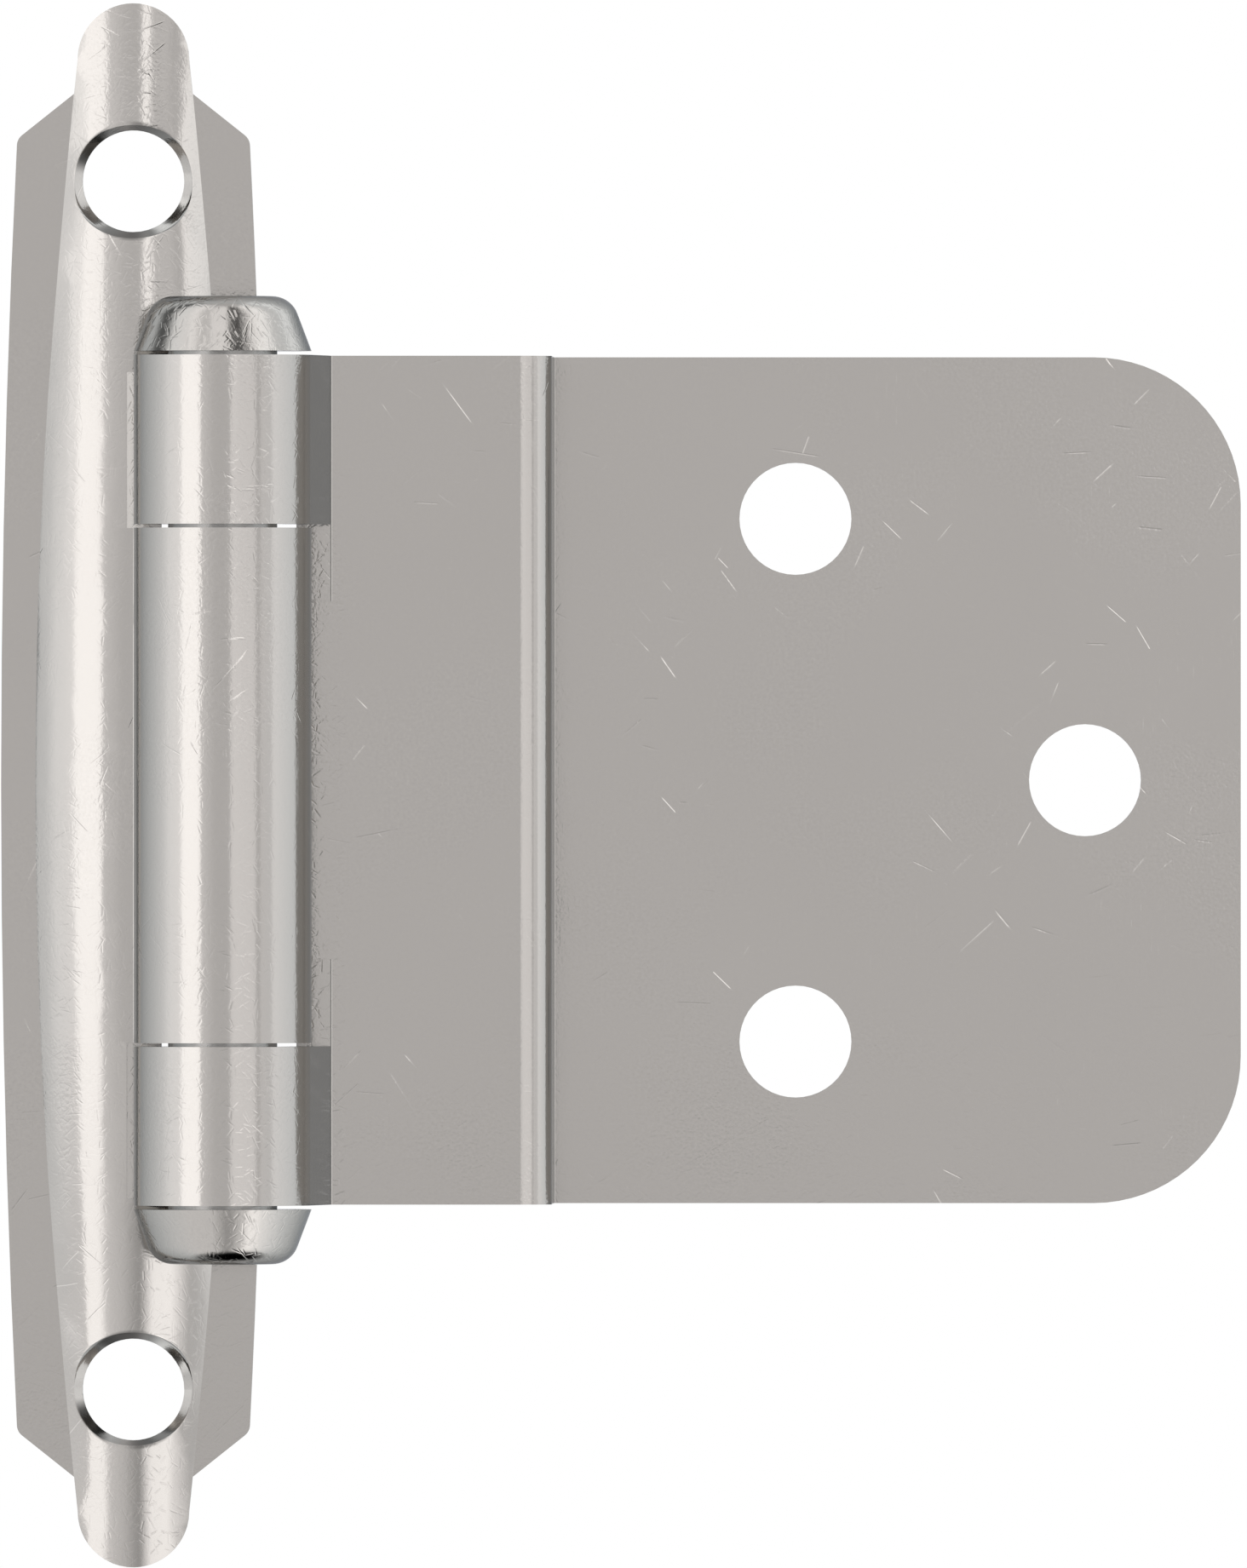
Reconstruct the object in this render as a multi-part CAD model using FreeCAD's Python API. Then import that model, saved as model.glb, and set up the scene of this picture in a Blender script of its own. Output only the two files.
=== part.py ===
"""A self-closing cabinet hinge for a door with a 3/8 in lip, built piece by piece.

A stamped frame wing with a swelling rib screws to the face of the cabinet frame. A door
leaf with a 3/8 in offset screws to the back of the door. Both are folded from one gauge
of sheet, and their rolled knuckles turn on a pin with a cap at each end. A torsion spring
inside the middle knuckle pulls the door shut.

Frame of the part, in millimetres: +X runs across the hinge towards the door, +Z runs up
along the pin, and -Y faces the viewer. The origin is the middle of the frame wing's two
screw holes, on the flat back that lies against the cabinet frame.
"""
import FreeCAD, Part
from FreeCAD import Vector
import math
import os

INCH = 25.4

# Sheet and fits
sheet = 1.5
running_clearance = 0.03
press_clearance = 0.01
knuckle_gap = 0.166
cap_gap = 0.175

# Frame wing: flange and finials, as seen from the front
screw_spacing = 2.125 * INCH
wing_length = 2.75 * INCH
flange_half_width = 5.91
flange_end_half_width = 5.19
flange_side_length = 57.74
flange_corner_radius = 0.6
flange_shoulder_slope = 38.5
finial_neck_half_width = 2.65
finial_end_radius = 2.49

# Frame wing: rib, a barrel form that turns about a line behind the flange
rib_radius = 5.85
rib_axis_depth = 3.88
rib_swell_radius = 369.0
rib_swell_length = 40.9

# Frame wing: screw holes with an oval lip
wing_hole_radius = 2.27
wing_hole_lip_across = 1.02
wing_hole_lip_along = 0.26
wing_hole_lip_depth = 1.2

# Frame wing: middle knuckle, and the window and notch beside it
middle_knuckle_length = 22.965
window_length = 36.92
window_side_clearance = 0.34
window_floor_clearance = 0.5
window_floor_turn = 52.0
notch_side_length = 43.1
notch_end_slope = 18.0
wing_wall_blend = 0.05
seam_gap = 1.2

# Pin line, bore and bushes
pin_x = 4.02
bore_radius = 2.465
pin_radius = 1.2
bush_reach = 4.0

# Door leaf: knuckles, tongue and stubs
leaf_standoff = 0.2
leaf_height = 37.92
leaf_shift = 0.23
leaf_drop = 4.5
leaf_wall_lean = 9.9
leaf_bend_radius = 0.06
tongue_height = 16.0
tongue_reach = 0.4
stub_height = 0.15

# Door leaf: offset, plate and screw holes
jog_x = 18.79
jog_depth = 0.375 * INCH
jog_lean = 0.75
jog_front_radius = 1.4
jog_foot_radius = 0.04
leaf_reach = 49.56
leaf_corner_radius = 6.6
leaf_hole_radius = 2.51
leaf_hole_from_jog = 10.81
leaf_hole_spacing = 23.44
leaf_end_hole_inset = 6.98

# Caps
cap_height = 2.445
cap_taper = 20.7
cap_edge_radius = 1.2
cap_socket_depth = 1.3

# Torsion spring
spring_wire = 0.8
spring_wire_sides = 6
spring_turns = 5
spring_end_gap = 0.1
spring_bend_radius = 0.7
spring_tail_length = 1.3
spring_leg_length = 1.4
spring_slot_clearance = 0.1

# Places that follow from the sizes above
knuckle_radius = bore_radius + sheet
bush_radius = bore_radius - running_clearance
pin_y = -leaf_standoff - sheet - leaf_drop
rib_axis_y = rib_axis_depth - sheet
middle_half = middle_knuckle_length / 2
slot_half = middle_half + knuckle_gap
leaf_top = leaf_shift + leaf_height / 2
leaf_bottom = leaf_shift - leaf_height / 2
cap_base_up = leaf_top + cap_gap
cap_base_down = leaf_bottom - cap_gap
bush_end = middle_half - bush_reach
far = 200.0


def at_pin(u, v, z=0.0):
    """A point given from the pin line: u towards the door, v towards the viewer."""
    return Vector(pin_x + u, pin_y - v, z)


def polar(radius, degrees):
    """u and v of a point round the pin: 0 faces the viewer, 90 faces the door."""
    turn = math.radians(degrees)
    return radius * math.sin(turn), radius * math.cos(turn)


def line(a, b):
    return Part.makeLine(a, b)


def arc(a, b, c):
    return Part.Arc(a, b, c).toShape()


def prism(edges, z_low, z_high):
    """A closed outline in the X-Y plane, raised from z_low to z_high."""
    face = Part.Face(Part.Wire(edges))
    face.translate(Vector(0, 0, z_low))
    return face.extrude(Vector(0, 0, z_high - z_low))


def block(x_low, x_high, y_low, y_high, z_low, z_high):
    return Part.makeBox(x_high - x_low, y_high - y_low, z_high - z_low,
                        Vector(x_low, y_low, z_low))


def tube(outer, inner, z_low, z_high):
    """A round sleeve on the pin line."""
    height = z_high - z_low
    sleeve = Part.makeCylinder(outer, height, at_pin(0, 0, z_low))
    return sleeve.cut(Part.makeCylinder(inner, height, at_pin(0, 0, z_low)))


def edges_near(shape, point, length):
    """The upright edges of about this length whose middle lies close to a point."""
    reach = sheet / 3
    return [e for e in shape.Edges
            if e.BoundBox.ZLength > length - reach
            and abs(e.BoundBox.Center.x - point.x) < reach
            and abs(e.BoundBox.Center.y - point.y) < reach]


def rib_profile(inset):
    """The rib's radius at mid height and where its straight taper starts and slopes."""
    half_angle = math.asin(rib_swell_length / 2 / rib_swell_radius)
    swell = rib_swell_radius - inset
    taper_z = swell * math.sin(half_angle)
    taper_radius = rib_radius - rib_swell_radius + swell * math.cos(half_angle)
    return rib_radius - inset, taper_z, taper_radius, math.tan(half_angle)


def rib_radius_at(z):
    """The rib's outer radius at a height in its straight taper."""
    _, taper_z, taper_radius, slope = rib_profile(0)
    return taper_radius - (abs(z) - taper_z) * slope


def spindle(inset):
    """The rib's barrel form, or the hollow inside it when inset by the sheet."""
    middle, taper_z, taper_radius, slope = rib_profile(inset)
    end_z = wing_length / 2 + rib_radius
    end_radius = taper_radius - (end_z - taper_z) * slope

    def at(radius, z):
        return Vector(radius, rib_axis_y, z)

    outline = Part.Wire([line(at(0, -end_z), at(end_radius, -end_z)),
                         line(at(end_radius, -end_z), at(taper_radius, -taper_z)),
                         arc(at(taper_radius, -taper_z), at(middle, 0), at(taper_radius, taper_z)),
                         line(at(taper_radius, taper_z), at(end_radius, end_z)),
                         line(at(end_radius, end_z), at(0, end_z)),
                         line(at(0, end_z), at(0, -end_z))])
    return Part.Face(outline).revolve(at(0, 0), Vector(0, 0, 1), 360)


def shoulder_top():
    """Height at which the flange's sloping shoulder meets the finial's neck."""
    slope = math.tan(math.radians(flange_shoulder_slope))
    return flange_side_length / 2 + (flange_end_half_width - finial_neck_half_width) * slope


def wing_blank():
    """The wing's outline as seen from the front, at full depth, with rounded corners."""
    half_side = flange_side_length / 2
    half_length = wing_length / 2
    end_centre = half_length - finial_end_radius
    edges = []
    for side in (1, -1):
        edges.append(arc(Vector(side * flange_end_half_width, 0, -half_side),
                         Vector(side * flange_half_width, 0, 0),
                         Vector(side * flange_end_half_width, 0, half_side)))
        for end in (1, -1):
            corner = Vector(side * flange_end_half_width, 0, end * half_side)
            neck = Vector(side * finial_neck_half_width, 0, end * shoulder_top())
            round_start = Vector(side * finial_end_radius, 0, end * end_centre)
            edges += [line(corner, neck), line(neck, round_start)]
    for end in (1, -1):
        edges.append(arc(Vector(finial_end_radius, 0, end * end_centre),
                         Vector(0, 0, end * half_length),
                         Vector(-finial_end_radius, 0, end * end_centre)))
    outline = Part.Face(Part.Wire(Part.__sortEdges__(edges)))
    blank = outline.extrude(Vector(0, -far, 0))
    corners = [e for e in blank.Edges
               if e.BoundBox.YLength > far / 2
               and abs(abs(e.BoundBox.Center.x) - flange_end_half_width) < 1e-3
               and abs(abs(e.BoundBox.Center.z) - half_side) < 1e-3]
    return blank.makeFillet(flange_corner_radius, corners)


def wing_shell():
    """Flange, rib and finials before the window is cut."""
    flange_end = shoulder_top()
    flange = block(-2 * flange_half_width, 2 * flange_half_width, -sheet, 0,
                   -flange_end, flange_end).cut(notch_cutter())
    rib = spindle(0).common(block(-far, far, -far, 0, -far, far))
    return flange.fuse(rib).common(wing_blank()).cut(spindle(sheet))


def window_cutter(z_low, z_high):
    """What is cut away so that the leaf's knuckles can turn, and a flat step beside it."""
    brink = at_pin(*polar(knuckle_radius + window_floor_clearance, -90 - window_floor_turn))
    step_x = pin_x - knuckle_radius - window_side_clearance
    through = block(brink.x, far, -far, far, z_low, z_high)
    return through.fuse(block(step_x, brink.x, -far, brink.y, z_low, z_high))


def notch_cutter():
    """The flange on the door's side is cut back past the window, as far as the rib."""
    rise = flange_half_width * math.tan(math.radians(notch_end_slope))
    edge = notch_side_length / 2
    half = [Vector(0, 0, edge - rise), Vector(flange_half_width, 0, edge), Vector(far, 0, edge)]
    other = [Vector(p.x, 0, -p.z) for p in reversed(half)]
    plan = Part.Face(Part.makePolygon(half + other + half[:1]))
    return plan.extrude(Vector(0, -far, 0))


def seam_turn(gap):
    """How far the roll's free end stays from the wall that it came from, in degrees."""
    return math.degrees(math.acos((bore_radius - gap) / knuckle_radius))


def roll_edges(place, lean, foot_v):
    """A leaning wall and its roll over the front and round the pin, from foot to foot.

    The wall stands on the +u side; place turns u and v into a point, and may mirror it.
    The foot is where the wall's two faces end, at foot_v behind the pin line.
    """
    start = 90 - lean
    end = start + seam_turn(seam_gap) - 360
    middle = (start + end) / 2
    nu, nv = polar(1.0, start)
    outer, inner = [(place((radius - nv * foot_v) / nu, foot_v), place(*polar(radius, start)),
                     place(*polar(radius, middle)), place(*polar(radius, end)))
                    for radius in (knuckle_radius, bore_radius)]
    return [line(outer[0], outer[1]), arc(*outer[1:]), line(outer[3], inner[3]),
            arc(inner[3], inner[2], inner[1]), line(inner[1], inner[0])], outer[0], inner[0]


def wing_middle():
    """The middle of the wing: the sheet turns up off the crest and rolls round the pin."""
    def mirrored(u, v):
        return at_pin(-u, v)

    crest_v = pin_y - (rib_axis_y - rib_radius)
    upright = 0.0
    edges, outer_foot, inner_foot = roll_edges(mirrored, upright, crest_v - sheet / 2)
    roll = prism(edges + [line(inner_foot, outer_foot)], -middle_half, middle_half)
    inner_face_x = mirrored(bore_radius, 0).x
    shell = wing_shell().common(block(-far, inner_face_x, -far, far, -middle_half, middle_half))
    middle = shell.fuse(roll).removeSplitter()
    bend = edges_near(middle, mirrored(bore_radius, crest_v - sheet), middle_knuckle_length)
    middle = middle.makeFillet(wing_wall_blend + sheet, bend)
    blend = edges_near(middle, mirrored(knuckle_radius, crest_v), middle_knuckle_length)
    return middle.makeFillet(wing_wall_blend, blend)


def wing_hole_cutter(z):
    """A screw hole whose mouth opens into an oval lip on the rib."""
    crest_y = rib_axis_y - rib_radius_at(z)
    rings = []
    for height in (-wing_hole_lip_depth, wing_hole_lip_depth):
        grow = 1 + height / wing_hole_lip_depth
        across = wing_hole_radius + wing_hole_lip_across * grow
        along = wing_hole_radius + wing_hole_lip_along * grow
        centre = Vector(0, crest_y - height, z)
        rings.append((centre, across, along))
    wires = []
    for centre, across, along in rings:
        circle = Part.makeCircle(1.0, Vector(0, 0, 0), Vector(0, -1, 0))
        stretch = FreeCAD.Matrix(across, 0, 0, centre.x, 0, 1, 0, centre.y, 0, 0, along, centre.z)
        wires.append(Part.Wire(circle.transformGeometry(stretch)))
    lip = Part.makeLoft(wires, True, True)
    hole = Part.makeCylinder(wing_hole_radius, far, Vector(0, far / 2, z), Vector(0, -1, 0))
    return hole.fuse(lip)


def frame_wing():
    """Sub-part: the stamped wing with its rib, finials, window and middle knuckle."""
    window_half = window_length / 2
    wing = wing_shell().cut(block(-far, far, -far, far, -middle_half, middle_half))
    wing = wing.cut(window_cutter(-window_half, window_half))
    wing = wing.fuse(wing_middle()).removeSplitter()
    for z in (screw_spacing / 2, -screw_spacing / 2):
        wing = wing.cut(wing_hole_cutter(z))
    return wing


def leaf_bend():
    """The bend at the leaf's wall: its centre, and u and v of the wall's direction."""
    nu, nv = polar(1.0, 90 - leaf_wall_lean)
    centre_v = leaf_bend_radius - leaf_drop
    centre_u = (knuckle_radius + leaf_bend_radius - nv * centre_v) / nu
    return centre_u, centre_v, nu, nv


def leaf_roll(z_low, z_high):
    """A knuckle of the leaf, from the plate's bend to the roll's free end."""
    centre_u, centre_v, nu, nv = leaf_bend()
    diagonal = math.hypot(nu, nv + 1)

    def bend(radius):
        wall = at_pin(centre_u - radius * nu, centre_v - radius * nv)
        half_way = at_pin(centre_u - radius * nu / diagonal, centre_v - radius * (nv + 1) / diagonal)
        return wall, half_way, at_pin(centre_u, centre_v - radius)

    edges, _, _ = roll_edges(at_pin, leaf_wall_lean, centre_v)
    outer, inner = bend(leaf_bend_radius), bend(leaf_bend_radius + sheet)
    rolled = edges[1:4]
    outer_top, inner_top = [at_pin(*polar(r, 90 - leaf_wall_lean))
                            for r in (knuckle_radius, bore_radius)]
    outline = [line(outer[0], outer_top)] + rolled + [
        line(inner_top, inner[0]), arc(*inner), line(inner[2], outer[2]),
        arc(outer[2], outer[1], outer[0])]
    return prism(outline, z_low, z_high)


def leaf_plate():
    """The leaf's plate in section: front part, offset and rear part, at full height."""
    front_y = pin_y + leaf_drop
    rear_y = front_y + jog_depth
    left = at_pin(leaf_bend()[0], 0).x
    lean = math.radians(jog_lean)
    quarter = 90 - jog_lean

    def rounding(x, y, radius, start, turn):
        """The start, middle and end of an arc; 0 faces the viewer and 90 the door."""
        points = []
        for degrees in (start, start + turn / 2, start + turn):
            across, ahead = polar(radius, degrees)
            points.append(Vector(x + across, y - ahead, 0))
        return points

    def off_wall(radius, behind_foot):
        """How far a circle's centre lies from the foot if it touches the leaning wall."""
        return (radius - behind_foot * math.sin(lean)) / math.cos(lean)

    top_y = front_y + jog_front_radius
    foot_y = rear_y - jog_foot_radius
    foot_x = jog_x + off_wall(jog_foot_radius, jog_foot_radius)
    top = rounding(jog_x - off_wall(jog_front_radius, top_y - rear_y), top_y, jog_front_radius,
                   0, quarter)
    foot = rounding(foot_x, foot_y, jog_foot_radius, quarter + 180, jog_lean - 90)
    heel = rounding(foot_x, foot_y, jog_foot_radius + sheet, 180, quarter)
    under_front = heel[2].x - (heel[2].y - front_y - sheet) * math.tan(lean)
    outline = [line(Vector(left, front_y, 0), top[0]), arc(*top), line(top[2], foot[0]), arc(*foot),
               line(foot[2], Vector(leaf_reach, rear_y, 0)),
               line(Vector(leaf_reach, rear_y, 0), Vector(leaf_reach, rear_y + sheet, 0)),
               line(Vector(leaf_reach, rear_y + sheet, 0), heel[0]), arc(*heel),
               line(heel[2], Vector(under_front, front_y + sheet, 0)),
               line(Vector(under_front, front_y + sheet, 0), Vector(left, front_y + sheet, 0)),
               line(Vector(left, front_y + sheet, 0), Vector(left, front_y, 0))]
    plate = prism(outline, leaf_bottom, leaf_top)
    corners = [e for e in plate.Edges
               if abs(e.BoundBox.Center.x - leaf_reach) < 1e-3
               and abs(e.BoundBox.YLength - sheet) < 1e-3 and e.BoundBox.ZLength < 1e-3]
    return plate.makeFillet(leaf_corner_radius, corners)


def door_leaf():
    """Sub-part: the offset leaf with its two knuckles, tongue and low stubs."""
    front_y = pin_y + leaf_drop
    bend_x = at_pin(leaf_bend()[0], 0).x
    tongue_low, tongue_high = leaf_shift - tongue_height / 2, leaf_shift + tongue_height / 2
    leaf = leaf_plate()
    leaf = leaf.fuse(leaf_roll(slot_half, leaf_top)).fuse(leaf_roll(leaf_bottom, -slot_half))
    low = block(-far, far, front_y - stub_height, far, -far, far)
    for z_low, z_high in ((tongue_high, slot_half), (-slot_half, tongue_low)):
        leaf = leaf.fuse(leaf_roll(z_low, z_high).common(low))
    tongue = block(pin_x + tongue_reach, bend_x, front_y, front_y + sheet, tongue_low, tongue_high)
    leaf = leaf.fuse(tongue).removeSplitter()
    hole_x = jog_x + leaf_hole_from_jog
    places = [(hole_x, leaf_shift + leaf_hole_spacing / 2),
              (hole_x, leaf_shift - leaf_hole_spacing / 2),
              (leaf_reach - leaf_end_hole_inset, leaf_shift)]
    for x, z in places:
        hole = Part.makeCylinder(leaf_hole_radius, far, Vector(x, 0, z), Vector(0, 1, 0))
        leaf = leaf.cut(hole)
    return leaf


def cap(base_z, up):
    """A turned cap with a tapered side, a rounded top and a blind socket for the pin's end."""
    top_radius = knuckle_radius - cap_height * math.tan(math.radians(cap_taper))
    side_u, side_v = polar(1.0, 90 - cap_taper)
    flat = top_radius - cap_edge_radius * math.tan(math.radians(45 - cap_taper / 2))
    round_z = cap_height - cap_edge_radius
    middle_u, middle_v = polar(cap_edge_radius, 45 - cap_taper / 2)
    socket = pin_radius + press_clearance

    def at(radius, z):
        return Vector(radius, 0, z)

    round_end = at(flat + cap_edge_radius * side_u, round_z + cap_edge_radius * side_v)
    profile = [line(at(0, cap_socket_depth), at(socket, cap_socket_depth)),
               line(at(socket, cap_socket_depth), at(socket, 0)),
               line(at(socket, 0), at(knuckle_radius, 0)), line(at(knuckle_radius, 0), round_end),
               arc(round_end, at(flat + middle_u, round_z + middle_v), at(flat, cap_height)),
               line(at(flat, cap_height), at(0, cap_height)),
               line(at(0, cap_height), at(0, cap_socket_depth))]
    body = Part.Face(Part.Wire(profile)).revolve(at(0, 0), Vector(0, 0, 1), 360)
    if up < 0:
        body.rotate(Vector(0, 0, 0), Vector(1, 0, 0), 180)
    body.translate(at_pin(0, 0, base_z))
    return body


def hinge_pin():
    """Sub-part: the core pin, held in the two caps' sockets."""
    low = cap_base_down - cap_socket_depth
    high = cap_base_up + cap_socket_depth
    return Part.makeCylinder(pin_radius, high - low, at_pin(0, 0, low))


def spring_frame():
    """Radius of the coil, height of its lower end, its rise, and its top end's turn."""
    radius = bore_radius - seam_gap / 2
    top_z = bush_end - spring_end_gap - spring_wire / 2
    bottom_z = -top_z + spring_bend_radius
    free_end = -90 - seam_turn(seam_gap)
    in_seam = math.degrees(math.asin(seam_gap / 2 / knuckle_radius))
    back = math.degrees(math.asin(spring_bend_radius / knuckle_radius))
    return radius, bottom_z, top_z - bottom_z, free_end + in_seam - back


def on_coil(half_turn):
    """A point on the coil, the way out from the pin there, and the wire's way up."""
    radius, bottom_z, rise, top_turn = spring_frame()
    turn = math.radians(top_turn - 90) + math.pi * (half_turn - 2 * spring_turns)
    out = Vector(math.cos(turn), math.sin(turn), 0)
    height = bottom_z + rise * half_turn / (2 * spring_turns)
    return at_pin(0, 0, height) + out * radius, out, Vector(-out.y, out.x, 0)


def quarter_bend(start, along, away):
    """A quarter turn of the wire that leaves start along one way and ends along another."""
    share = math.sqrt(0.5) * spring_bend_radius
    middle = start + along * share + away * (spring_bend_radius - share)
    end = start + (along + away) * spring_bend_radius
    return arc(start, middle, end), end


def spring_path():
    """The wire's path: a leg down, the coil, and a tail out through the knuckle's seam.

    The coil is a chain of half turns, each a tilted half circle that runs into the next.
    """
    coil = []
    for half_turn in range(2 * spring_turns):
        low, _, along = on_coil(half_turn)
        high, _, _ = on_coil(half_turn + 1)
        middle = (low + high) * 0.5 + along * ((high - low).Length / 2)
        coil.append(arc(low, middle, high))
    foot, _, along = on_coil(0)
    down = Vector(0, 0, -1)
    leg_bend, leg_top = quarter_bend(foot, along * -1, down)
    leg_end = leg_top + down * spring_leg_length
    head, out, along = on_coil(2 * spring_turns)
    tail_bend, tail_start = quarter_bend(head, along, out)
    tail = line(tail_start, tail_start + out * spring_tail_length)
    return Part.Wire([line(leg_end, leg_top), leg_bend] + coil + [tail_bend, tail]), leg_end


def torsion_spring():
    """Sub-part: the coil round the core pin, its leg in the lower bush's slot."""
    path, leg_end = spring_path()
    step = 2 * math.pi / spring_wire_sides
    corners = [leg_end + Vector(math.cos(n * step), math.sin(n * step), 0) * (spring_wire / 2)
               for n in range(spring_wire_sides)]
    section = Part.makePolygon(corners + corners[:1])
    return path.makePipeShell([section], True, False)


def lower_bush():
    """Sub-part: the bush in the leaf's lower knuckle, slotted for the spring's leg."""
    bush = tube(bush_radius, pin_radius + running_clearance, cap_base_down, -bush_end)
    _, leg_end = spring_path()
    wide = spring_wire / 2 + spring_slot_clearance
    away = leg_end - at_pin(0, 0, leg_end.z)
    slot = block(0, far, -wide, wide, leg_end.z - spring_slot_clearance, far)
    slot.rotate(Vector(0, 0, 0), Vector(0, 0, 1), math.degrees(math.atan2(away.y, away.x)))
    slot.translate(at_pin(0, 0))
    return bush.cut(slot)


def upper_bush():
    """Sub-part: the bush in the leaf's upper knuckle."""
    return tube(bush_radius, pin_radius + running_clearance, bush_end, cap_base_up)


def save(name, shape):
    shape.exportStep("parts/%s.step" % name)


os.makedirs("parts", exist_ok=True)
save("frame_wing", frame_wing())
save("door_leaf", door_leaf())
save("hinge_pin", hinge_pin())
save("upper_cap", cap(cap_base_up, 1))
save("lower_cap", cap(cap_base_down, -1))
save("upper_bush", upper_bush())
save("lower_bush", lower_bush())
save("torsion_spring", torsion_spring())
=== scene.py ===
"""The look of a self-closing cabinet hinge in satin nickel, seen square on from the front.

Every piece of the hinge is a CAD node that keeps its shape and gets its metal here. The
metal's bands of light come from a dome of soft light cards and dark flags round the hinge,
as a photographer sets them up for bright plated parts.
"""
import math
import bpy
import bmesh
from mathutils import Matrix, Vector


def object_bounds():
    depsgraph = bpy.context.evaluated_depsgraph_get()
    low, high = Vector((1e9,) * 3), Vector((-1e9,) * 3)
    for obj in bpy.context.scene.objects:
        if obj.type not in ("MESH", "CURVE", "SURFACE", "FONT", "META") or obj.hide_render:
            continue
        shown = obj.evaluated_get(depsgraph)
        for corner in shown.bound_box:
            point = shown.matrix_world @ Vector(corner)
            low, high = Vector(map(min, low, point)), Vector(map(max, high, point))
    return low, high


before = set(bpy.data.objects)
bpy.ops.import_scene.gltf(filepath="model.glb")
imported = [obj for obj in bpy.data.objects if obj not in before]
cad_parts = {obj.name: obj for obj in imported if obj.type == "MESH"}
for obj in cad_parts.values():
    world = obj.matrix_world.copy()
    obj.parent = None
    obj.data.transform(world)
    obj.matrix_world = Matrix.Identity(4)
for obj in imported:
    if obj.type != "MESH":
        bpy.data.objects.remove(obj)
cad_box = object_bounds()

MM = 0.001

# The place of the hinge in the photograph's frame
PHOTO_MIDDLE = Vector((21.89, 0.0, 0.06)) * MM
PHOTO_TALL = 70.08 * MM
LENS_MM = 1300.0
SENSOR_MM = 36.0

# Metal colours, and the grey of their glancing edges
SATIN_NICKEL = (0.410, 0.392, 0.366)
CAP_NICKEL = (0.421, 0.404, 0.376)
PIN_STEEL = (0.36, 0.35, 0.33)
SPRING_STEEL = (0.20, 0.195, 0.19)
EDGE_GREY = (0.485, 0.51, 0.535, 1.0)

# Each finish: its colour and roughness, then how much sand, strokes, hairlines and scratches
# its relief has
FINISHES = {
    "wing_nickel": (SATIN_NICKEL, 0.13, 0.6, 0.10, 0.12, 0.50),
    "leaf_nickel": (SATIN_NICKEL, 0.13, 0.6, 0.10, 0.12, 0.50),
    "cap_nickel": (CAP_NICKEL, 0.14, 1.3, 0.85, 0.1, 1.0),
    "pin_steel": (PIN_STEEL, 0.25, 0.6, 0.2, 0.0, 0.4),
    "spring_wire": (SPRING_STEEL, 0.32, 0.6, 0.2, 0.0, 0.4),
}
FINISH_OF = {
    "frame_wing": "wing_nickel",
    "door_leaf": "leaf_nickel",
    "upper_cap": "cap_nickel",
    "lower_cap": "cap_nickel",
    "hinge_pin": "pin_steel",
    "upper_bush": "pin_steel",
    "lower_bush": "pin_steel",
    "torsion_spring": "spring_wire",
}
GLOSS_VARIES = 0.05
GLOSS_PATCH = 5 * MM
RELIEF_DEPTH = 0.010 * MM
SAND_SIZE = 0.14 * MM
HAIR_WIDTH = 0.09 * MM
HAIR_STRETCH = (1.0, 1.0, 0.09)
HAIR_LEVELS = (0.60, 0.78)
# Patches where each kind of mark is strongest: their size, the noise's levels where they start
# and where they are full, the share of the marks between them, and the noise's detail
SANDY_PATCHES = (9 * MM, 0.48, 0.64, 0.3, 2.0)
WORN_PATCHES = (5 * MM, 0.38, 0.60, 0.5, 3.0)
HAIRY_PATCHES = (4 * MM, 0.52, 0.66, 0.0, 2.0)
SCRATCHED_PATCHES = (7 * MM, 0.50, 0.60, 0.2, 2.0)
# How much soft clouds, scratches and sand change the metal's brightness
CLOUD_SIZE = 14 * MM
CLOUD_SHADE = 0.04
SCRATCH_SHADE = 0.10
SAND_SHADE = 0.20
# How far from its cell's middle a mark is still whole, and where it ends, in cells
MARK_FULL = 0.35
MARK_ENDS = 0.62
# Layers of marks: cells per metre, a mark's width as a share of its cell, share of cells marked
STROKE_LAYERS = ((2400.0, 0.11, 1.0), (1800.0, 0.09, 1.0), (1300.0, 0.055, 0.95))
SCRATCH_LAYERS = ((420.0, 0.016, 0.30), (800.0, 0.03, 0.35), (180.0, 0.006, 0.12))

# The front of the wing's flange and the leaf's first bend, how softly the wear starts there,
# and the relief of the curved parts beyond them where it isn't the finish's own
FLANGE_FRONT = -1.55 * MM
FLANGE_FADE = 0.2 * MM
LEAF_BEND = 9.3 * MM
LEAF_FADE = 0.3 * MM
WING_WEAR = {"Strokes": 0.24}
LEAF_WEAR = {"Sand": 0.8, "Strokes": 0.34}

# The wing's screw holes with their lips, and the step beside its barrel, whose colour is painted lighter
WING_HOLE_UP = 26.9875 * MM
WING_HOLE_RADIUS = 2.27 * MM
LIP_FULL = WING_HOLE_RADIUS + 0.30 * MM
LIP_ENDS = WING_HOLE_RADIUS + 0.45 * MM
LIP_ROUNDING = 0.33
STEP_LEFT = -0.34 * MM
STEP_RIGHT = 0.40 * MM
STEP_FROM = 11.5 * MM
STEP_TO = 18.5 * MM
STEP_FRONT = -2.9 * MM
STEP_BACK = -2.2 * MM
STEP_EDGE = 0.1 * MM
# How much painted light brightens the colour of the lower and the upper step
LOWER_STEP_PAINTED_LIGHT = 0.08
UPPER_STEP_PAINTED_LIGHT = 0.54
# Where painted shade darkens the holes' lips and a painted highlight brightens them: across, out, and
# the change
LIP_PAINTED_LIGHT_PATCHES = (((-0.80, 0.60), -0.88), ((0.35, 0.94), -0.45), ((-0.25, -0.97), -0.45),
               ((0.72, -0.69), 0.70))
LIP_PAINTED_LIGHT_EDGE = (0.87, 0.98)

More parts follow.
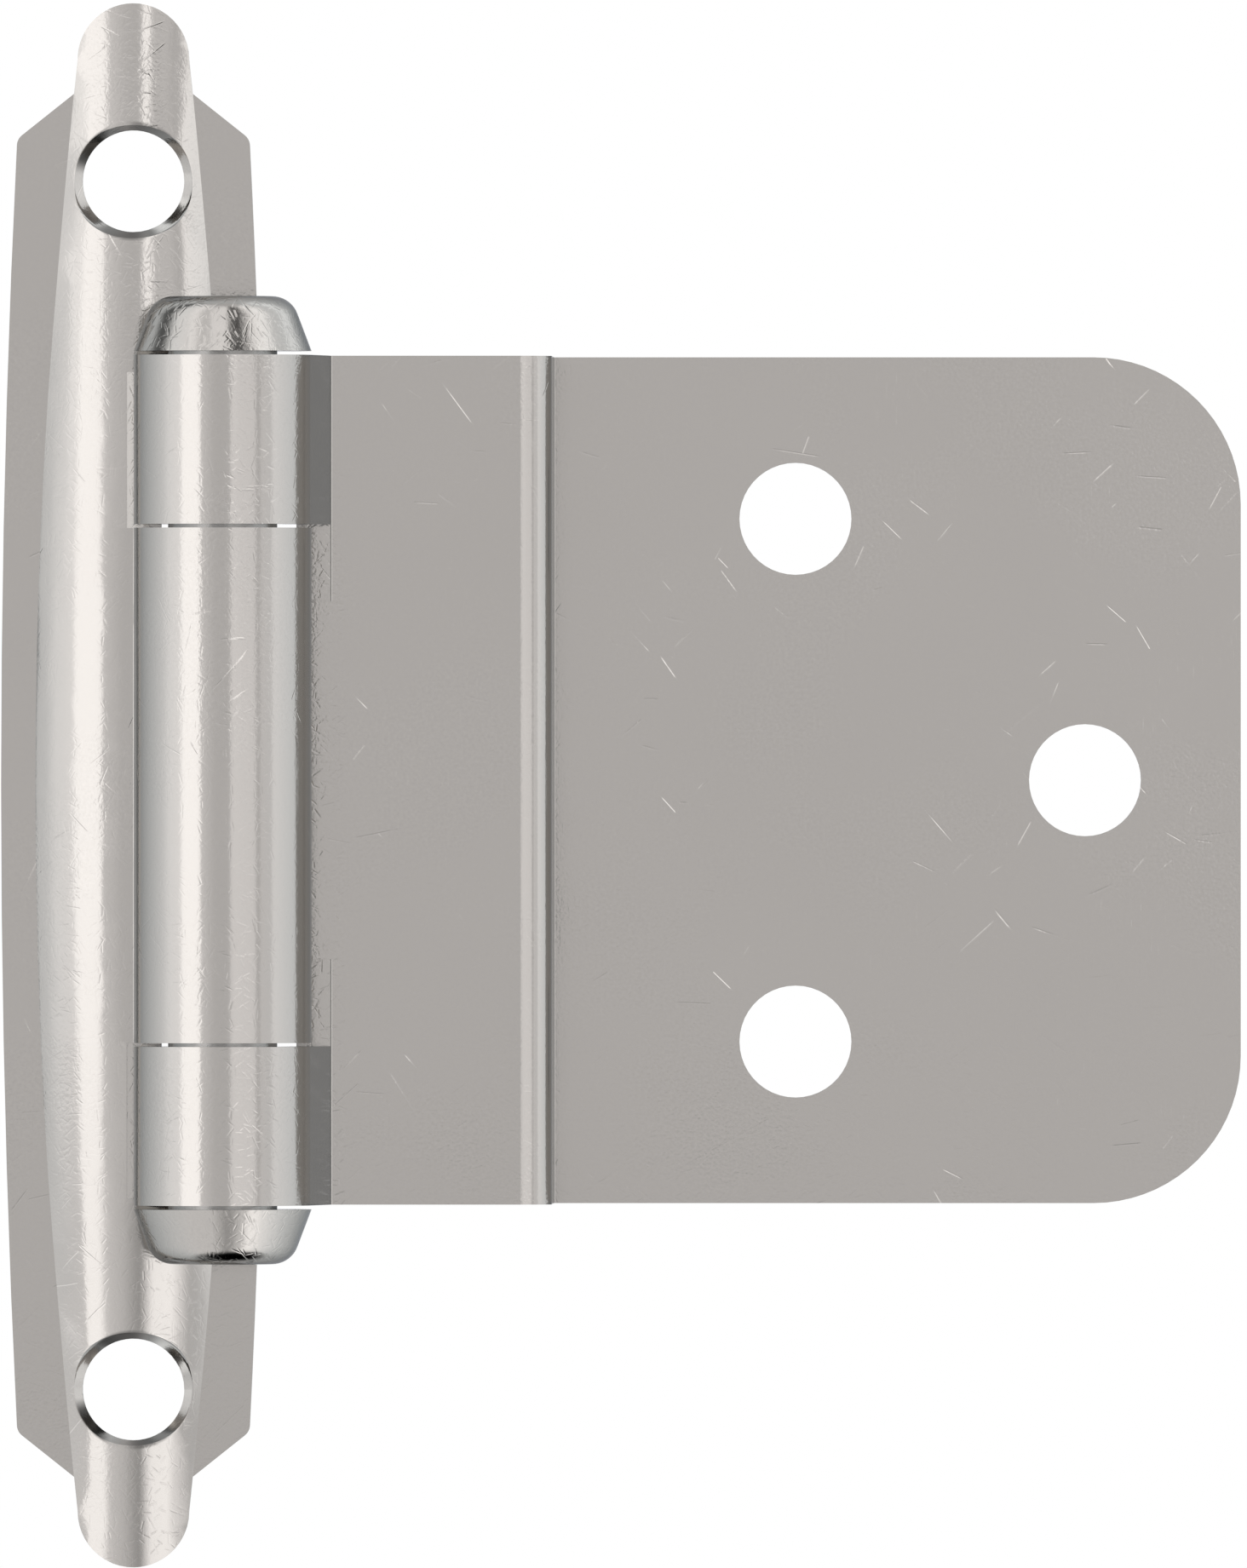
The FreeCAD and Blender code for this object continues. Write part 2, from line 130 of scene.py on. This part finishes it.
# The dome of light cards: its radius, its mesh's step and last row in degrees, the light's
# colour in front and at the sides, and the side colour's share by the angle from the front
CARD_DISTANCE = 0.6
DOME_STEP = 4
DOME_TOP = 89.6
FRONT_TINT = (1.007, 1.0, 1.022, 1.0)
SIDE_TINT = (0.962, 1.0, 1.04, 1.0)
COOL_SIDES = ((0, 0.0), (50, 0.0), (105, 1.0), (152, 1.0), (172, 0.0), (180, 0.0))

# The floor with its lamp, and the backdrop as it is seen and as it lights the floor
FLOOR_GAP = 2.6 * MM
FLOOR_HALF = 0.9
FLOOR_PALE = (0.86, 0.86, 0.85, 1.0)
SHADOW_FULL = 0.052
SHADOW_ENDS = 0.13
BACKDROP_SEEN = 1.0
BACKDROP_LIGHT = 0.55
LAMP_PLACE = Vector((-0.12, -0.3, 0.42))
LAMP_SIZE = 0.35
LAMP_WATTS = 1.6

# Light cards and flags in five belts round the hinge: the belt's reach in height, then each
# card's left and right edge and the light it sends there. Angles are in degrees as the hinge
# sees them, 0 being straight in front of it, and neighbours fade into each other.
BELTS = {
    "low": ((-62, -17), {
        "flag_behind_left": (-180, -150, 0.62, 0.66),
        "fill_left": (-130, -85, 0.80, 1.10),
        "soft_box_left": (-60, -18, 1.18, 1.14),
        "flag_middle": (-1, 7, 0.74, 0.60),
        "fill_middle": (22, 32, 1.02, 1.26),
        "strip_right": (40, 49, 1.92, 2.00),
        "soft_box_right": (60, 110, 1.70, 1.11),
        "flag_behind_right": (136, 180, 0.90, 0.62),
    }),
    "below_level": ((-12, -7), {
        "flag_behind_left": (-180, -150, 0.66, 0.62),
        "fill_left": (-130, -84, 0.80, 1.16),
        "soft_box_left": (-76, -52, 1.20, 1.24),
        "strip_left": (-51, -36, 2.15, 2.15),
        "bounce_middle": (-29, -12, 1.30, 1.06),
        "dark_middle": (0.5, 4.5, 0.70, 0.60),
        "strip_right": (17, 36, 2.10, 2.16),
        "gap_right": (57, 64, 0.96, 0.94),
        "soft_box_right": (76, 123, 1.40, 1.05),
        "flag_behind_right": (150, 180, 0.88, 0.66),
    }),
    "level": ((-4, 4), {
        "back_left": (-180, -174, 0.96, 0.86),
        "flag_behind_left": (-168, -160, 0.26, 0.44),
        "fill_behind_left": (-142, -112, 0.65, 0.95),
        "fill_left": (-100, -84, 1.07, 1.29),
        "soft_box_left": (-73, -57, 1.58, 1.67),
        "strip_left": (-54, -30.5, 2.25, 2.25),
        "bounce_middle": (-29, -12, 1.24, 0.98),
        "front": (-11, 8.3, 0.975, 0.975),
        "bounce_right": (9, 42, 1.42, 1.34),
        "gap_right": (43.5, 48, 0.92, 0.92),
        "fill_right": (49.5, 65, 1.17, 1.16),
        "soft_box_right": (68, 123, 1.49, 1.20),
        "flag_behind_right": (125, 168, 0.36, 0.38),
        "back_right": (174, 180, 0.86, 0.96),
    }),
    "above_level": ((7, 12), {
        "flag_behind_left": (-180, -150, 0.66, 0.55),
        "fill_left": (-135, -100, 0.75, 1.05),
        "edge_left": (-84, -67, 1.30, 1.52),
        "soft_box_left": (-63, -58, 2.00, 1.85),
        "strip_left": (-53, -34, 2.30, 2.22),
        "bounce_middle": (-30, -13, 1.34, 1.06),
        "front": (-6, 5, 1.00, 0.97),
        "thin_strip": (10.5, 14, 2.30, 2.30),
        "fill_middle": (19, 36, 1.18, 1.12),
        "gap_right": (44, 49, 0.95, 0.98),
        "strip_right": (54, 70, 1.90, 1.76),
        "fill_right": (78, 118, 1.36, 1.15),
        "flag_behind_right": (136, 180, 0.60, 0.66),
    }),
    "high": ((17, 66), {
        "flag_behind_left": (-180, -150, 0.62, 0.50),
        "fill_left": (-137, -120, 0.90, 1.00),
        "dark_flag_left": (-106, -97, 0.20, 0.14),
        "soft_box_left": (-78, -57, 1.47, 1.50),
        "strip_left": (-52, -49, 1.70, 1.66),
        "gap_left": (-34, -27, 1.12, 1.10),
        "soft_box_middle": (-18, 3, 1.50, 1.50),
        "dark_flag_middle": (15, 23, 0.22, 0.08),
        "strip_right": (50, 68, 1.66, 1.90),
        "fill_right": (86, 102, 1.22, 1.18),
        "soft_box_right": (112, 120, 1.60, 1.70),
        "flag_behind_right": (134, 180, 1.00, 0.66),
    }),
}
ZENITH_LIGHT = 0.85
ZENITH_FROM = 78
# The black flag under the hinge: its middle and reach from straight down, in degrees
BLACK_MIDDLE = (6.0, -1.0)
BLACK_REACH = (24.0, 25.0)
# As shares of that reach: where the flag stops being black, and how far it then fades
BLACK_CORE = 0.8
BLACK_FADE = 0.6


def in_scene(name, data):
    made = bpy.data.objects.new(name, data)
    bpy.context.scene.collection.objects.link(made)
    return made


def node(tree, kind, **settings):
    """A node with its settings and its inputs' values; an underscore stands for a space."""
    made = tree.nodes.new(kind)
    for name, value in settings.items():
        if hasattr(made, name):
            setattr(made, name, value)
        else:
            made.inputs[name.replace("_", " ")].default_value = value
    return made


def plugged(tree, socket, value):
    """Set a socket to a plain value, or link it to another node's output."""
    if isinstance(value, bpy.types.NodeSocket):
        tree.links.new(value, socket)
    else:
        socket.default_value = value


def sums(tree, operation, *values):
    """A Math node; each value is a number or another node's output."""
    made = node(tree, "ShaderNodeMath", operation=operation)
    for socket, value in zip(made.inputs, values):
        plugged(tree, socket, value)
    return made.outputs[0]


def vectors(tree, operation, *values):
    """A Vector Math node; the output is a number for a length or a dot product."""
    made = node(tree, "ShaderNodeVectorMath", operation=operation)
    sockets = [made.inputs[0], made.inputs["Scale"] if operation == "SCALE" else made.inputs[1]]
    for socket, value in zip(sockets, values):
        plugged(tree, socket, value)
    return made.outputs["Value" if operation in ("LENGTH", "DOT_PRODUCT") else "Vector"]


def product(tree, first, *others):
    """All the values multiplied."""
    for other in others:
        first = sums(tree, "MULTIPLY", first, other)
    return first


def between(tree, value, low, high):
    """0 at low, 1 at high and a smooth way between them; low may be the higher one."""
    made = node(tree, "ShaderNodeMapRange", interpolation_type="SMOOTHSTEP")
    tree.links.new(value, made.inputs["Value"])
    turned = low > high
    made.inputs["From Min"].default_value = min(low, high)
    made.inputs["From Max"].default_value = max(low, high)
    made.inputs["To Min"].default_value = 1.0 if turned else 0.0
    made.inputs["To Max"].default_value = 0.0 if turned else 1.0
    return made.outputs["Result"]


def inside(tree, value, low, high, soft):
    """1 from low to high, fading to 0 over a soft edge outside them."""
    return product(tree, between(tree, value, low - soft, low), between(tree, value, high + soft, high))


def group(name, inputs, outputs):
    """An empty shader node group with its named sockets."""
    tree = bpy.data.node_groups.new(name, "ShaderNodeTree")
    for label, kind, value in inputs:
        socket = tree.interface.new_socket(name=label, in_out="INPUT", socket_type=kind)
        if value is not None:
            socket.default_value = value
    for label, kind in outputs:
        tree.interface.new_socket(name=label, in_out="OUTPUT", socket_type=kind)
    return tree, tree.nodes.new("NodeGroupInput"), tree.nodes.new("NodeGroupOutput")


def placed(tree, made, **values):
    """A node group placed in a material or in another group, with its own values."""
    use = node(tree, "ShaderNodeGroup", node_tree=made)
    for name, value in values.items():
        plugged(tree, use.inputs[name.replace("_", " ")], value)
    return use.outputs


def noise(tree, vector, size, detail=2.0):
    """Noise whose lumps are about this size, in metres."""
    made = node(tree, "ShaderNodeTexNoise", Scale=1.0 / size, Detail=detail)
    tree.links.new(vector, made.inputs["Vector"])
    return made.outputs["Fac"]


def object_place(tree):
    """Where a point lies, measured from its object's origin."""
    return tree.nodes.new("ShaderNodeTexCoord").outputs["Object"]


def object_axes(tree):
    """How far across, deep and up a point lies from its object's origin."""
    axes = node(tree, "ShaderNodeSeparateXYZ")
    tree.links.new(object_place(tree), axes.inputs[0])
    return axes.outputs


def patches(tree, place, size, start, full, between_them, detail):
    """How strongly marks show: 1 in soft patches and a smaller share between them."""
    over = between(tree, noise(tree, place, size, detail), start, full)
    return sums(tree, "MULTIPLY_ADD", over, 1.0 - between_them, between_them)


def scratch_group():
    """Short straight scratches, each in its own cell and at its own angle."""
    tree, given, result = group("short_scratches", [
        ("Vector", "NodeSocketVector", None),
        ("Cells per metre", "NodeSocketFloat", 200.0),
        ("Width", "NodeSocketFloat", 0.02),
        ("Share", "NodeSocketFloat", 0.5),
    ], [("Mark", "NodeSocketFloat")])
    place, density = given.outputs["Vector"], given.outputs["Cells per metre"]
    cells = node(tree, "ShaderNodeTexVoronoi", feature="F1")
    tree.links.new(place, cells.inputs["Vector"])
    tree.links.new(density, cells.inputs["Scale"])
    away = vectors(tree, "SCALE", vectors(tree, "SUBTRACT", place, cells.outputs["Position"]), density)
    lean = vectors(tree, "NORMALIZE", vectors(tree, "SUBTRACT", cells.outputs["Color"], (0.5, 0.5, 0.5)))
    off_line = sums(tree, "ABSOLUTE", vectors(tree, "DOT_PRODUCT", away, lean))
    closeness = sums(tree, "SUBTRACT", 1.0, sums(tree, "DIVIDE", off_line, given.outputs["Width"]))
    stroke = product(tree, sums(tree, "MAXIMUM", closeness, 0.0),
                     between(tree, vectors(tree, "LENGTH", away), MARK_ENDS, MARK_FULL))
    parts = node(tree, "ShaderNodeSeparateColor")
    tree.links.new(cells.outputs["Color"], parts.inputs[0])
    chosen = sums(tree, "LESS_THAN", parts.outputs[2], given.outputs["Share"])
    tree.links.new(product(tree, stroke, chosen), result.inputs["Mark"])
    return tree


def marks_in(tree, scratches, place, layers):
    """Several layers of short scratches, the strongest at each point."""
    strongest = 0.0
    for cells, width, share in layers:
        mark = placed(tree, scratches, Vector=place, Cells_per_metre=cells, Width=width, Share=share)
        strongest = sums(tree, "MAXIMUM", mark["Mark"], strongest)
    return strongest


def relief_group(scratches):
    """The relief of handled plating: sand and tiny strokes in patches, hairlines, scratches."""
    tree, given, result = group("satin_relief", [
        ("Vector", "NodeSocketVector", None),
        ("Sand", "NodeSocketFloat", 1.0),
        ("Strokes", "NodeSocketFloat", 1.0),
        ("Hairlines", "NodeSocketFloat", 1.0),
        ("Scratches", "NodeSocketFloat", 1.0),
    ], [("Height", "NodeSocketFloat"), ("Shade", "NodeSocketFloat")])
    place = given.outputs["Vector"]
    sand = sums(tree, "SUBTRACT", noise(tree, place, SAND_SIZE), 0.5)
    sand = product(tree, sand, patches(tree, place, *SANDY_PATCHES), given.outputs["Sand"])
    strokes = marks_in(tree, scratches, place, STROKE_LAYERS)
    strokes = product(tree, strokes, patches(tree, place, *WORN_PATCHES), given.outputs["Strokes"])
    upright = vectors(tree, "MULTIPLY", place, HAIR_STRETCH)
    hair = between(tree, noise(tree, upright, HAIR_WIDTH, 1.0), *HAIR_LEVELS)
    hair = product(tree, hair, patches(tree, place, *HAIRY_PATCHES), given.outputs["Hairlines"])
    scratched = marks_in(tree, scratches, place, SCRATCH_LAYERS)
    scratched = product(tree, scratched, patches(tree, place, *SCRATCHED_PATCHES),
                        given.outputs["Scratches"])
    marks = sums(tree, "ADD", sums(tree, "ADD", hair, scratched), strokes)
    tree.links.new(sums(tree, "SUBTRACT", sand, marks), result.inputs["Height"])
    cloud = sums(tree, "SUBTRACT", noise(tree, place, CLOUD_SIZE, 3.0), 0.5)
    shade = sums(tree, "MULTIPLY_ADD", cloud, CLOUD_SHADE, 1.0)
    shade = sums(tree, "MULTIPLY_ADD", scratched, SCRATCH_SHADE, shade)
    shade = sums(tree, "MULTIPLY_ADD", sand, SAND_SHADE, shade)
    tree.links.new(shade, result.inputs["Shade"])
    return tree


def plated_metal(name, relief, colour, roughness, sand, strokes, hairlines, scratches):
    """Satin plated metal: colour and gloss that vary a little, over a fine relief."""
    material = bpy.data.materials.new(name)
    material.use_nodes = True
    tree = material.node_tree
    shader = tree.nodes["Principled BSDF"]
    shader.inputs["Metallic"].default_value = 1.0
    shader.inputs["Specular Tint"].default_value = EDGE_GREY
    place = object_place(tree)
    surface = placed(tree, relief, Vector=place, Sand=sand, Strokes=strokes,
                     Hairlines=hairlines, Scratches=scratches)
    tint = node(tree, "ShaderNodeVectorMath", name="tint", operation="SCALE")
    tint.inputs[0].default_value = colour
    tree.links.new(surface["Shade"], tint.inputs["Scale"])
    tree.links.new(tint.outputs[0], shader.inputs["Base Color"])
    uneven = sums(tree, "SUBTRACT", noise(tree, place, GLOSS_PATCH), 0.5)
    gloss = sums(tree, "MULTIPLY_ADD", uneven, GLOSS_VARIES, roughness)
    tree.links.new(gloss, shader.inputs["Roughness"])
    bump = node(tree, "ShaderNodeBump", name="relief", Strength=1.0, Distance=RELIEF_DEPTH)
    tree.links.new(surface["Height"], bump.inputs["Height"])
    tree.links.new(bump.outputs["Normal"], shader.inputs["Normal"])
    return material


def wear_curves(material, wear, from_left=None):
    """Give what lies before the wing's flange, or left of a line, the relief of curved parts."""
    tree = material.node_tree
    surface = next(made for made in tree.nodes if made.type == "GROUP")
    across, depth = object_axes(tree)[:2]
    if from_left:
        curved = between(tree, across, from_left + LEAF_FADE, from_left)
    else:
        curved = between(tree, depth, FLANGE_FRONT, FLANGE_FRONT - FLANGE_FADE)
    for name, curves in wear.items():
        flats = surface.inputs[name].default_value
        level = sums(tree, "MULTIPLY_ADD", curved, curves - flats, flats)
        tree.links.new(level, surface.inputs[name])


def round_lips_and_paint_wing_light(material):
    """Brighten the wing's step with painted light, round the lips of its screw holes, and paint shade
    and a highlight on those lips.
    """
    tree = material.node_tree
    shader = tree.nodes["Principled BSDF"]
    across, depth, along = object_axes(tree)
    out = sums(tree, "ABSOLUTE", along)
    step = product(tree, inside(tree, across, STEP_LEFT, STEP_RIGHT, STEP_EDGE),
                   inside(tree, depth, STEP_FRONT, STEP_BACK, STEP_EDGE),
                   inside(tree, out, STEP_FROM, STEP_TO, STEP_EDGE))
    # Painted light: the step's colour is brightened, more on the upper step than the lower
    step_painted_light = product(tree, step, sums(tree, "MULTIPLY_ADD", between(tree, along, -MM, MM),
                                      UPPER_STEP_PAINTED_LIGHT - LOWER_STEP_PAINTED_LIGHT, LOWER_STEP_PAINTED_LIGHT))
    from_hole = node(tree, "ShaderNodeCombineXYZ")
    tree.links.new(across, from_hole.inputs[0])
    tree.links.new(sums(tree, "SUBTRACT", out, WING_HOLE_UP), from_hole.inputs[1])
    reach = vectors(tree, "LENGTH", from_hole.outputs[0])
    lip = between(tree, reach, LIP_ENDS, LIP_FULL)
    bearing = vectors(tree, "NORMALIZE", from_hole.outputs[0])
    # Painted shade and a painted highlight on the holes' lips, at given bearings round each hole
    painted_lip_light = 0.0
    for towards, change in LIP_PAINTED_LIGHT_PATCHES:
        patch = vectors(tree, "DOT_PRODUCT", bearing, Vector((*towards, 0.0)).normalized())
        patch = between(tree, patch, *LIP_PAINTED_LIGHT_EDGE)
        painted_lip_light = sums(tree, "MULTIPLY_ADD", patch, change, painted_lip_light)
    painted_lip_light = product(tree, painted_lip_light, lip)
    tint = tree.nodes["tint"].outputs[0]
    brightness = sums(tree, "ADD", step_painted_light, 1.0)
    brightness = product(tree, brightness, sums(tree, "ADD", painted_lip_light, 1.0))
    tree.links.new(vectors(tree, "SCALE", tint, brightness), shader.inputs["Base Color"])
    rounding = vectors(tree, "SCALE", (0.0, -1.0, 0.0), sums(tree, "MULTIPLY", lip, LIP_ROUNDING))
    normal = vectors(tree, "ADD", tree.nodes["relief"].outputs["Normal"], rounding)
    tree.links.new(vectors(tree, "NORMALIZE", normal), shader.inputs["Normal"])


def metals():
    """One metal for each finish, given to the pieces that have it."""
    relief = relief_group(scratch_group())
    made = {name: plated_metal(name, relief, *values) for name, values in FINISHES.items()}
    round_lips_and_paint_wing_light(made["wing_nickel"])
    wear_curves(made["wing_nickel"], WING_WEAR)
    wear_curves(made["leaf_nickel"], LEAF_WEAR, from_left=LEAF_BEND)
    for name, finish in FINISH_OF.items():
        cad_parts[name].material_slots[0].material = made[finish]


def on_stops(stops, at):
    """The value at a place on a rising list of (place, value) stops."""
    for (low, first), (high, second) in zip(stops, stops[1:]):
        if at <= high:
            return first + (second - first) * (at - low) / (high - low)
    return stops[-1][1]


def dome_light(sideways, height):
    """The light that the dome sends from one direction."""
    belts = [(-90.0, ZENITH_LIGHT)]
    for (low, high), cards in BELTS.values():
        stops = [stop for left, right, first, last in cards.values()
                 for stop in ((left, first), (right, last))]
        level = on_stops(stops, sideways)
        belts += [(low, level), (high, level)]
    belts += [(ZENITH_FROM, ZENITH_LIGHT), (90.0, ZENITH_LIGHT)]
    down = 90 + height
    off = [(down * turn(math.radians(sideways)) - middle) / half for turn, middle, half
           in zip((math.sin, math.cos), BLACK_MIDDLE, BLACK_REACH)]
    open_share = min(1.0, max(0.0, (math.hypot(*off) - BLACK_CORE) / BLACK_FADE))
    return on_stops(belts, height) * open_share


def light_cards():
    """All the cards and flags as one dome, each corner carrying the light it sends."""
    stops = {round(edge, 1) for reach, cards in BELTS.values() for card in cards.values()
             for edge in card[:2]}
    columns = sorted(stops | set(range(-180, 181, DOME_STEP)))
    rows = sorted({edge for reach, cards in BELTS.values() for edge in reach}
                  | set(range(-86, 87, DOME_STEP)) | {-DOME_TOP, DOME_TOP})
    mesh = bmesh.new()
    level = mesh.verts.layers.float.new("level")
    coolness = mesh.verts.layers.float.new("coolness")
    bmesh.ops.create_grid(mesh, x_segments=len(columns) - 1, y_segments=len(rows) - 1, size=1.0)
    for corner in mesh.verts:
        sideways = columns[round((corner.co.x + 1) / 2 * (len(columns) - 1))]
        height = rows[round((corner.co.y + 1) / 2 * (len(rows) - 1))]
        corner[level] = dome_light(sideways, height)
        corner[coolness] = on_stops(COOL_SIDES, abs(sideways))
        side, up = math.radians(sideways), math.radians(height)
        corner.co = Vector((math.sin(side) * math.cos(up), -math.cos(side) * math.cos(up),
                            math.sin(up))) * CARD_DISTANCE
    data = bpy.data.meshes.new("light_cards")
    mesh.to_mesh(data)
    mesh.free()
    cards = in_scene("light_cards", data)
    cards.location = PHOTO_MIDDLE
    material = bpy.data.materials.new("light_cards")
    material.use_nodes = True
    tree = material.node_tree
    tree.nodes.clear()
    carried = node(tree, "ShaderNodeAttribute", attribute_name="level")
    cool = node(tree, "ShaderNodeAttribute", attribute_name="coolness")
    tint = node(tree, "ShaderNodeMix", data_type="RGBA")
    tint.inputs[6].default_value = FRONT_TINT
    tint.inputs[7].default_value = SIDE_TINT
    tree.links.new(cool.outputs["Fac"], tint.inputs[0])
    glow = node(tree, "ShaderNodeEmission")
    tree.links.new(tint.outputs[2], glow.inputs["Color"])
    tree.links.new(carried.outputs["Fac"], glow.inputs["Strength"])
    end = tree.nodes.new("ShaderNodeOutputMaterial")
    tree.links.new(glow.outputs[0], end.inputs["Surface"])
    data.materials.append(material)
    cards.visible_camera = False
    cards.visible_shadow = False
    cards.visible_diffuse = False


def seen_directly(tree):
    """1 for the camera and for what metal and glass show, 0 for light on rough surfaces."""
    rays = tree.nodes.new("ShaderNodeLightPath").outputs
    mirrored = sums(tree, "MAXIMUM", rays["Is Glossy Ray"], rays["Is Transmission Ray"])
    return sums(tree, "MAXIMUM", rays["Is Camera Ray"], mirrored)


def white_world():
    """A white backdrop all round, which lights the floor a little less than it shows."""
    world = bpy.data.worlds.new("white_studio")
    world.use_nodes = True
    tree = world.node_tree
    backdrop = tree.nodes["Background"]
    backdrop.inputs["Color"].default_value = (1, 1, 1, 1)
    level = sums(tree, "MULTIPLY_ADD", seen_directly(tree), BACKDROP_SEEN - BACKDROP_LIGHT,
                 BACKDROP_LIGHT)
    tree.links.new(level, backdrop.inputs["Strength"])
    bpy.context.scene.world = world


def floor():
    """A pale floor just under the hinge that fades into the backdrop away from its shadow."""
    mesh = bmesh.new()
    bmesh.ops.create_grid(mesh, x_segments=1, y_segments=1, size=FLOOR_HALF)
    level = cad_box[0].z - FLOOR_GAP
    bmesh.ops.translate(mesh, verts=mesh.verts, vec=(PHOTO_MIDDLE.x, 0, level))
    data = bpy.data.meshes.new("floor")
    mesh.to_mesh(data)
    mesh.free()
    made = in_scene("floor", data)
    material = bpy.data.materials.new("pale_floor")
    material.use_nodes = True
    tree = material.node_tree
    shader = tree.nodes["Principled BSDF"]
    shader.inputs["Base Color"].default_value = FLOOR_PALE
    shader.inputs["Roughness"].default_value = 0.9
    shader.inputs["Specular IOR Level"].default_value = 0.0
    glow = node(tree, "ShaderNodeEmission", Color=(1, 1, 1, 1), Strength=1.0)
    away = vectors(tree, "SUBTRACT", object_place(tree), (PHOTO_MIDDLE.x, 0, level))
    fade = between(tree, vectors(tree, "LENGTH", away), SHADOW_FULL, SHADOW_ENDS)
    mix = tree.nodes.new("ShaderNodeMixShader")
    tree.links.new(product(tree, fade, seen_directly(tree)), mix.inputs["Fac"])
    tree.links.new(shader.outputs[0], mix.inputs[1])
    tree.links.new(glow.outputs[0], mix.inputs[2])
    tree.links.new(mix.outputs[0], tree.nodes["Material Output"].inputs["Surface"])
    data.materials.append(material)
    made.visible_glossy = False


def overhead_lamp():
    """One large soft lamp that gives the floor its shadow."""
    lamp = bpy.data.lights.new("overhead", "AREA")
    lamp.shape = "DISK"
    lamp.size = LAMP_SIZE
    lamp.energy = LAMP_WATTS
    made = in_scene("overhead", lamp)
    made.location = LAMP_PLACE
    aim = Vector((PHOTO_MIDDLE.x, 0, 0)) - LAMP_PLACE
    made.rotation_euler = aim.to_track_quat("-Z", "Y").to_euler()
    made.visible_camera = False
    made.visible_glossy = False


def camera():
    """A long lens square on to the hinge, framed as the photograph."""
    data = bpy.data.cameras.new("camera")
    data.lens = LENS_MM
    data.sensor_width = SENSOR_MM
    data.sensor_fit = "AUTO"
    distance = PHOTO_TALL * LENS_MM / SENSOR_MM
    data.clip_start = distance / 10
    data.clip_end = distance * 10
    made = in_scene("camera", data)
    made.location = PHOTO_MIDDLE + Vector((0, -distance, 0))
    made.rotation_euler = (math.radians(90), 0, 0)
    bpy.context.scene.camera = made


metals()
light_cards()
white_world()
floor()
overhead_lamp()
camera()
bpy.context.scene.view_settings.view_transform = "Standard"
